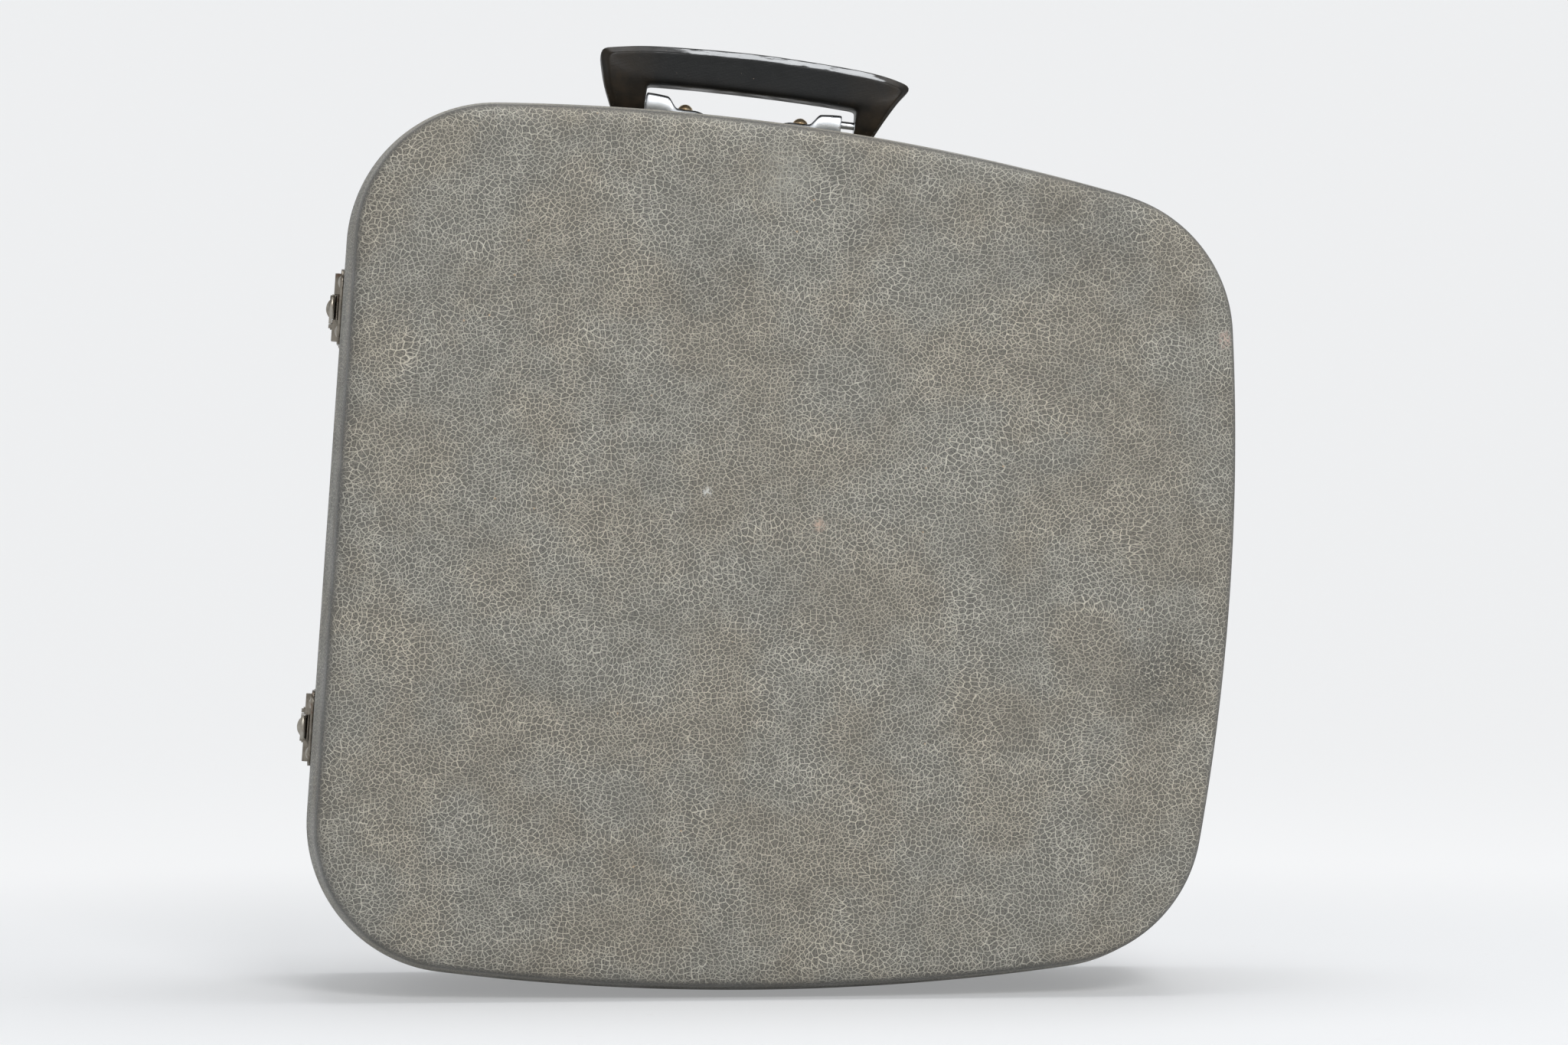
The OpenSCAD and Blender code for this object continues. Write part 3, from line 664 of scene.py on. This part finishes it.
# The lining is flocked paper, pasted into each tray. Its pile is rubbed down in patches.
flock = Finish("flocked_lining", roughness=0.95, specular=0.15)
flock.shader.inputs["Sheen Weight"].default_value = 0.4
place = flock.millimetres()
pile = flock.cloud(place, 0.35, 3)
rubbed = flock.fade(flock.cloud(place, 45, 4), 0.35, 0.7)
colour = flock.mix(rubbed, tint(126, 116, 98), tint(145, 136, 118))
colour = flock.mix(flock.fade(pile, 0.3, 0.8, 0, 0.45), colour, tint(96, 87, 72))
flock.bump(pile, 0.25)
flocked_lining = flock.look(colour)
for half, tray in trays.items():
    inside = wall_rows(tray, cloth_t + board_t)
    outside = wall_rows(tray, cloth_t + board_t + lining_t)
    lining = skin(half + "_flocked_lining", tray, inside[::-1] + outside, 0)
    lining.data.materials.append(flocked_lining)
    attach(lining, half)
    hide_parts(half + "_lining")

# The guide strip inside the base's rim is thin stained board, rebated where the lid slides over it.
strip = Finish("stained_strip", roughness=0.55, specular=0.4)
place = strip.millimetres()
grain = strip.cloud(strip.scaled(place, (0.15, 1, 0.15)), 0.8, 4)
strip.bump(grain, 0.05)
finish_node("rim_strip", strip.look(strip.mix(grain, tint(96, 86, 72), tint(126, 114, 96))))

# The handle grip is one moulding of dark plastic: an arched bar with two feet, with a bevel along
# its top and eased edges round its window. A painted highlight lies along the bevel.
pivot_h = 6
finger_h = 13.2
grip_half_d = 9.0
foot_inner = 41.2
foot_turn_r = 5.9
tilt = joints["handle_tilt"]
handle_x_axis = Vector(tilt["axis"]).normalized()
handle_z_axis = handle_x_axis.cross(Vector((0, 1, 0)))
handle_stand = frame_of(
    handle_x_axis, handle_z_axis, Vector(tilt["pos_m"]) - handle_z_axis * pivot_h / 1000
)

# Outer edge and window edge at matching places, from the left foot over the bar to the right foot.
left_foot = [
    ((-53.8, 0.3), (-foot_inner, 0.3)),
    ((-54.7, 2.6), (-foot_inner, 2.6)),
    ((-57.0, 7.8), (-foot_inner, 6.4)),
    ((-58.8, 13.2), (-foot_inner, 9.2)),
    ((-60.3, 19.0), (-41.1, 10.8)),
    ((-60.9, 22.4), (-40.9, 11.6)),
]
right_foot = [
    ((61.2, 21.9), (40.9, 11.6)),
    ((58.9, 19.4), (41.1, 10.8)),
    ((56.6, 16.0), (foot_inner, 9.2)),
    ((53.4, 10.4), (foot_inner, 6.4)),
    ((50.4, 4.8), (foot_inner, 2.8)),
    ((48.5, 0.3), (foot_inner, 0.3)),
]
bar_left = -59.8
bar_right = 60.4
window_left = -39.9
window_l = 79.8
bar_arch = [
    (-60, 24.0), (-57.4, 24.8), (-44.2, 26.9), (-26.3, 28.1), (-2.5, 28.9), (15.5, 28.7),
    (39.6, 27.6), (51.7, 26.2), (60, 23.8),
]


def arch_at(u):
    """Height of the bar's top at u, a smooth curve through its measured points."""
    beyond = next(i for i, p in enumerate(bar_arch) if p[0] > u or p is bar_arch[-1])
    k = max(1, min(len(bar_arch) - 3, beyond - 1))
    (ua, wa), (ub, wb), (uc, wc), (ud, wd) = bar_arch[k - 1:k + 3]
    f = (u - ub) / (uc - ub)
    start = (wc - wa) / (uc - ua) * (uc - ub)
    end = (wd - wb) / (ud - ub) * (uc - ub)
    ease = f * f * (3 - 2 * f)
    return wb + (wc - wb) * ease + start * f * (1 - f) ** 2 - end * f * f * (1 - f)


def bar_station(f):
    """Outer edge and window edge at the share f of the bar. The window drops towards its ends."""
    u_out = bar_left + (bar_right - bar_left) * f
    u_in = window_left + window_l * f
    window = finger_h - 0.1 - abs(2 * f - 1) ** 2.4
    return ((u_out, arch_at(u_out)), (u_in, window))


bar_n = 44
grip_stations = left_foot + [bar_station(k / bar_n) for k in range(bar_n + 1)] + right_foot


def grip_half(w):
    """Half the grip's depth at a height: round about the pin, then widening up to the bar."""
    round_to = math.radians(25)
    low_half = foot_turn_r * math.cos(round_to)
    low_w = pivot_h - foot_turn_r * math.sin(round_to)
    if w < low_w:
        return math.sqrt(max(0.02, foot_turn_r**2 - (pivot_h - w) ** 2))
    widening = (grip_half_d - low_half) / (finger_h + 1 - low_w)
    return min(grip_half_d, low_half + (w - low_w) * widening)


# Across one station: how far from the outer edge to the window edge, how deep, and how strong the painted
# highlight is there.
grip_across = [
    (0.0, 0.0, 0), (0.0, 0.4, 0), (0.0, 0.62, 0), (0.015, 0.70, 0.2), (0.045, 0.745, 0.9),
    (0.10, 0.87, 0.9), (0.135, 0.95, 1.0), (0.16, 0.985, 0.8), (0.185, 0.99, 0),
    (0.3, 0.975, 0), (0.5, 0.955, 0), (0.7, 0.935, 0), (0.86, 0.92, 0),
    (0.93, 0.90, 0.15), (0.97, 0.85, 0.45), (1.0, 0.74, 0.15), (1.0, 0.45, 0), (1.0, 0.0, 0),
]


def lofted(name, rings):
    """A skin over rings of points, in the handle's millimetres, capped at both ends."""
    n = len(rings[0])
    points = [handle_stand @ Vector(p) for ring_points in rings for p in ring_points]
    faces = ring_faces(len(rings), n)
    faces += [tuple(range(n)), tuple(range((len(rings) - 1) * n, len(rings) * n))]
    mesh = bpy.data.meshes.new(name)
    mesh.from_pydata(points, [], faces)
    face_outward(mesh)
    return link(name, mesh)


def bevel_highlight_at(t, u, e, w):
    """The painted highlight runs along the middle of the top bevel, and is weaker by the window."""
    middle = max(0.0, min(1.0, (u + 46) / 26, (58 - u) / 14)) if t < 0.5 else 0.4
    return middle * (0.9 + 0.3 * noise.noise(Vector((u / 9, e, w / 3))))


def dust_at(u, w):
    """Dust lies thickest towards the grip's ends and low on its feet."""
    towards_end = max(0.0, min(1.0, (abs(u) - 34) / 22))
    low = max(0.0, 1 - (w - 4) / 14)
    return 0.7 * towards_end + 0.5 * low


def grip():
    """The moulding: a loop across each station, lofted from foot to foot and smoothed once."""
    loop = grip_across + [(t, -e, wear_and_painted_light) for t, e, wear_and_painted_light in grip_across[-2:0:-1]]
    rings = []
    bevel_highlight = []
    dust = []
    for (ou, ow), (iu, iw) in grip_stations:
        ring_points = []
        for t, e, wear_and_painted_light in loop:
            u = ou + (iu - ou) * t
            w = ow + (iw - ow) * t
            ring_points.append((u, e * grip_half(w), w))
            bevel_highlight.append(wear_and_painted_light * bevel_highlight_at(t, u, e, w))
            dust.append(dust_at(u, w))
        rings.append(ring_points)
    piece = lofted("handle_grip_moulding", rings)
    # The strength of the painted highlight at each point.
    paint(piece.data, "bevel_highlight", bevel_highlight)
    paint(piece.data, "dust", dust)
    smooth = piece.modifiers.new("smooth", "SUBSURF")
    smooth.levels = smooth.render_levels = 1
    settle(piece)
    return piece


def grip_plastic():
    """Dark plastic, satin, with dust, fluff, fine scratches and a painted highlight along the bevel."""
    plastic = Finish("worn_dark_plastic", roughness=0.4, specular=0.2)
    place = plastic.millimetres()
    dusty = plastic.fade(plastic.cloud(place, 6, 5), 0.25, 0.75, 0.25, 1)
    dust = plastic.times(plastic.painted("dust"), dusty)
    colour = plastic.mix(dust, tint(15, 17, 18), tint(54, 45, 34))
    fluff = plastic.fade(plastic.cells(place, 2.6, "F1"), 0.1, 0.05)
    fluff = plastic.times(fluff, plastic.fade(plastic.cloud(place, 7, 2), 0.54, 0.64))
    colour = plastic.mix(plastic.times(fluff, 0.5), colour, tint(150, 138, 120))
    # Painted highlight: the bevel mask, broken into streaks, lightens the bevel and the window's edges to
    # near white.
    streaks = plastic.cloud(plastic.scaled(place, (0.3, 1, 1)), 1.8, 4)
    bevel_highlight = plastic.fade(plastic.times(plastic.painted("bevel_highlight"), streaks), 0.2, 0.38)
    colour = plastic.mix(plastic.times(bevel_highlight, 0.85), colour, tint(196, 198, 200))
    scratch = plastic.turned(place, (0, 1, 0), 12)
    scratch = plastic.cloud(plastic.scaled(scratch, (0.05, 1, 1)), 0.5, 3)
    plastic.bump(plastic.calc("ADD", scratch, plastic.cloud(place, 0.8, 3)), 0.025)
    rough = plastic.fade(plastic.cloud(place, 9, 4), 0.3, 0.7, 0.3, 0.5)
    rough = plastic.calc("MAXIMUM", rough, plastic.times(dust, 0.75))
    return plastic.look(colour, rough)


handle_grip = grip()
handle_grip.data.materials.append(grip_plastic())
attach(handle_grip, "handle")
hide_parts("handle_grip")


def bright_plating(name, blemish):
    """Bright plating over steel, with a few dull spots and fine scratches."""
    plating = Finish(name, roughness=0.28, metallic=1.0)
    place = plating.millimetres()
    spots = plating.fade(plating.cloud(place, 1.6, 5), 0.6, 0.72, 0, blemish)
    film = plating.cloud(place, 5, 4)
    colour = plating.mix(spots, tint(222, 225, 228), tint(120, 104, 84))
    hair = plating.cloud(plating.scaled(place, (0.1, 1, 1.6)), 0.35, 2)
    plating.bump(hair, 0.012)
    rough = plating.calc("ADD", plating.fade(film, 0.3, 0.7, 0.22, 0.4), plating.times(spots, 0.4))
    return plating.look(colour, rough)


chrome = bright_plating("bright_plating", 0.55)


def refined(name, nodes, body, material, edge_mm=0.2, smooth_deg=28):
    """A CAD node's piece with its sheared or pressed edges eased, in its real finish."""
    shape = bmesh.new()
    for node in nodes:
        shape.from_mesh(frame["nodes"][node].data)
    bmesh.ops.remove_doubles(shape, verts=shape.verts, dist=2e-6)
    bmesh.ops.dissolve_limit(shape, angle_limit=math.radians(1.5), verts=shape.verts, edges=shape.edges)
    mesh = bpy.data.meshes.new(name)
    shape.to_mesh(mesh)
    shape.free()
    piece = link(name, mesh)
    ease = piece.modifiers.new("eased_edges", "BEVEL")
    ease.width = edge_mm / 1000
    ease.segments = 2
    ease.limit_method = "ANGLE"
    ease.angle_limit = math.radians(smooth_deg)
    ease.use_clamp_overlap = True
    ease.harden_normals = True
    settle(piece)
    piece.data.polygons.foreach_set("use_smooth", [True] * len(piece.data.polygons))
    piece.data.materials.clear()
    piece.data.materials.append(material)
    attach(piece, body)
    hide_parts(*nodes)
    return piece


# Each foot has a thin bright plate let into its inner face, and turns on a short steel pin that
# is pressed into the foot. The right pin shows, because the handle has slid to the left of its play.
refined("foot_plates_steel", ["foot_plates"], "handle", chrome, 0.08)
refined("handle_pins_steel", ["handle_pins"], "handle", chrome, 0.15)

# The brackets are hoods pressed from thin steel and plated bright. Each covers the end of a pin,
# falls in a soft slope to a narrower tongue, and is held down by one rivet. Here a hood is a solid
# skin, because its inside never shows.
bracket_l = 26
bracket_half_w = 5.0
hood_start = foot_inner - 0.2
hood_low = -1.2
hood_edge_r = 1.7
hump_h = 9.2
hump_l = 8
hump_fall = 0.5
slope_l = 4.9
tongue_h = 4.4
tongue_flat_to = 19.6
tongue_fall = 1.0
tongue_fall_l = 4
taper = 1.1
taper_from = 11
taper_l = 6
nose_l = 4.2
play = 5


def hood_height(v):
    """Height of a hood at the distance v from its foot end."""
    if v < hump_l:
        return hump_h - hump_fall * (v / hump_l) ** 2
    if v < hump_l + slope_l:
        f = (v - hump_l) / slope_l
        drop = hump_h - hump_fall - tongue_h
        return tongue_h + drop * (0.5 + 0.5 * math.cos(math.pi * f))
    if v < tongue_flat_to:
        return tongue_h
    return tongue_h - tongue_fall * min(1, (v - tongue_flat_to) / tongue_fall_l) ** 1.5


def hood_half(v):
    """Half width of a hood: full by the pin, and tapering to a rounded tongue."""
    narrow = bracket_half_w - taper * max(0.0, min(1.0, (v - taper_from) / taper_l)) ** 0.7
    nose = bracket_l - v
    if nose < nose_l:
        narrow *= math.sqrt(max(0.05, 1 - (1 - nose / nose_l) ** 2))
    return max(0.6, narrow)


def hood_ring(v, side, shift, shrink=1.0, drop=0.0):
    """One section across a hood: up one side, over its rounded edges and down the other."""
    half = hood_half(v) * shrink
    top = hood_height(v) - drop
    curve = min(hood_edge_r, half * 0.8)
    turns = [math.pi / 8 * k for k in (1, 2, 3, 4)]
    edge = [(half - curve + curve * math.cos(a), top - curve + curve * math.sin(a)) for a in turns]
    points = [(-half, hood_low), (-half, top - curve)]
    points += [(-y, w) for y, w in edge]
    points += [(half * f, top) for f in (-0.35, 0, 0.35)]
    points += reversed(edge)
    points += [(half, top - curve), (half, hood_low)]
    u = side * (hood_start - v) - shift
    return [(u, y, w) for y, w in points]


def hood(name, side, shift):
    """A closed skin from the foot end over the hump and down to the tongue's rounded nose."""
    foot_end = [(0.0, 0.86, 0.7), (0.08, 0.93, 0.28), (0.3, 0.975, 0.06), (0.6, 1.0, 0.0)]
    rings = [hood_ring(v, side, shift, shrink, drop) for v, shrink, drop in foot_end]
    rings += [hood_ring(1.2 + 0.62 * k, side, shift) for k in range(40)]
    rings += [hood_ring(v, side, shift) for v in (bracket_l - 0.5, bracket_l - 0.2)]
    nose_h = tongue_h - tongue_fall - 1.6
    rings.append([(u, y * 0.7, min(w, nose_h)) for u, y, w in hood_ring(bracket_l, side, shift)])
    piece = lofted(name, rings)
    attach(piece, "base")
    return piece


for side, shift, name in ((-1, 0, "left"), (1, play, "right")):
    bracket = hood("bracket_" + name + "_hood", side, shift)
    bracket.data.materials.append(chrome)
    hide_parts("handle_bracket_" + name)

# One brass rivet with a tall round head holds each bracket. The heads are dull and tan.
brass = Finish("dull_brass", roughness=0.36, metallic=0.85)
place = brass.millimetres()
tarnish = brass.cloud(place, 1.8, 4)
brass.bump(tarnish, 0.05)
colour = brass.mix(brass.fade(tarnish, 0.35, 0.65), tint(216, 196, 162), tint(160, 130, 94))
dull_brass = brass.look(colour, brass.fade(tarnish, 0.3, 0.7, 0.25, 0.5))
refined("bracket_rivets_brass", ["bracket_rivets"], "base", dull_brass, 0.12, 40)


def tarnished_plating(name, dark, pale, rust_amount):
    """Nickel plating that has gone dull and brown, with soft patches of rust."""
    plating = Finish(name, roughness=0.4, metallic=1.0)
    place = plating.millimetres()
    film = plating.cloud(place, 3.2, 5)
    colour = plating.mix(plating.fade(film, 0.35, 0.65), tint(*dark), tint(*pale))
    rust = plating.cloud(plating.moved(place, (40, 7, 3)), 3.4, 5)
    rust = plating.fade(rust, 0.58, 0.74, 0, rust_amount)
    colour = plating.mix(rust, colour, tint(96, 62, 40))
    plating.bump(plating.calc("ADD", film, plating.times(rust, 0.6)), 0.012)
    rough = plating.calc("ADD", plating.fade(film, 0.3, 0.7, 0.24, 0.42), plating.times(rust, 0.4))
    return plating.look(colour, rough)


# Each latch is a stamped plate with two ears, riveted to the base, and a lever on a pin between
# them. The lever's thumb tab stands up between the two blocks of the keeper on the lid.
nickel = tarnished_plating("tarnished_nickel", (138, 132, 122), (166, 162, 153), 0.45)
dark_nickel = tarnished_plating("dark_nickel", (116, 110, 101), (138, 132, 122), 0.55)
for level in ("upper", "lower"):
    plate = "latch_plate_" + level
    lever = "latch_lever_" + level
    keeper = "keeper_" + level
    refined(plate + "_steel", [plate], "base", dark_nickel)
    refined(lever + "_steel", [lever], level + "_lever", nickel, 0.25)
    refined(keeper + "_steel", [keeper], "lid", dark_nickel, 0.25)
refined("latch_pins_steel", ["latch_pins"], "base", nickel, 0.12, 40)
refined("latch_rivets_steel", ["latch_rivets"], "base", nickel, 0.1, 40)
refined("keeper_rivets_steel", ["keeper_rivets"], "lid", nickel, 0.1, 40)

# The hinges are two pairs of rolled steel leaves on a pin each, riveted flat to the trays' sides.
refined("hinge_base_leaves_steel", ["hinge_base_leaves"], "base", nickel, 0.1)
refined("hinge_lid_leaves_steel", ["hinge_lid_leaves"], "lid", nickel, 0.1)
refined("hinge_pins_steel", ["hinge_pins"], "base", dark_nickel, 0.1, 40)
refined("hinge_base_rivets_steel", ["hinge_base_rivets"], "base", dark_nickel, 0.1, 40)
refined("hinge_lid_rivets_steel", ["hinge_lid_rivets"], "lid", dark_nickel, 0.1, 40)

# Four moulded rubber feet carry the case when it lies flat. Each is held by a sunk steel screw.
rubber = Finish("black_rubber", roughness=0.75, specular=0.3)
place = rubber.millimetres()
bloom = rubber.cloud(place, 4, 5)
rubber.bump(rubber.cloud(place, 0.5, 3), 0.06)
colour = rubber.mix(rubber.fade(bloom, 0.4, 0.75, 0, 0.6), tint(36, 36, 36), tint(84, 80, 74))
black_rubber = rubber.look(colour, rubber.fade(bloom, 0.3, 0.7, 0.6, 0.85))
refined("rubber_feet_moulded", ["rubber_feet"], "base", black_rubber, 0.8, 35)
refined("foot_screws_steel", ["foot_screws"], "base", nickel, 0.15, 40)

# Two bent steel clips on the base's floor hook over the machine's front rail, one rivet each.
refined("machine_clips_steel", ["machine_clips"], "base", nickel, 0.3)
refined("clip_rivets_steel", ["clip_rivets"], "base", dark_nickel, 0.15, 40)
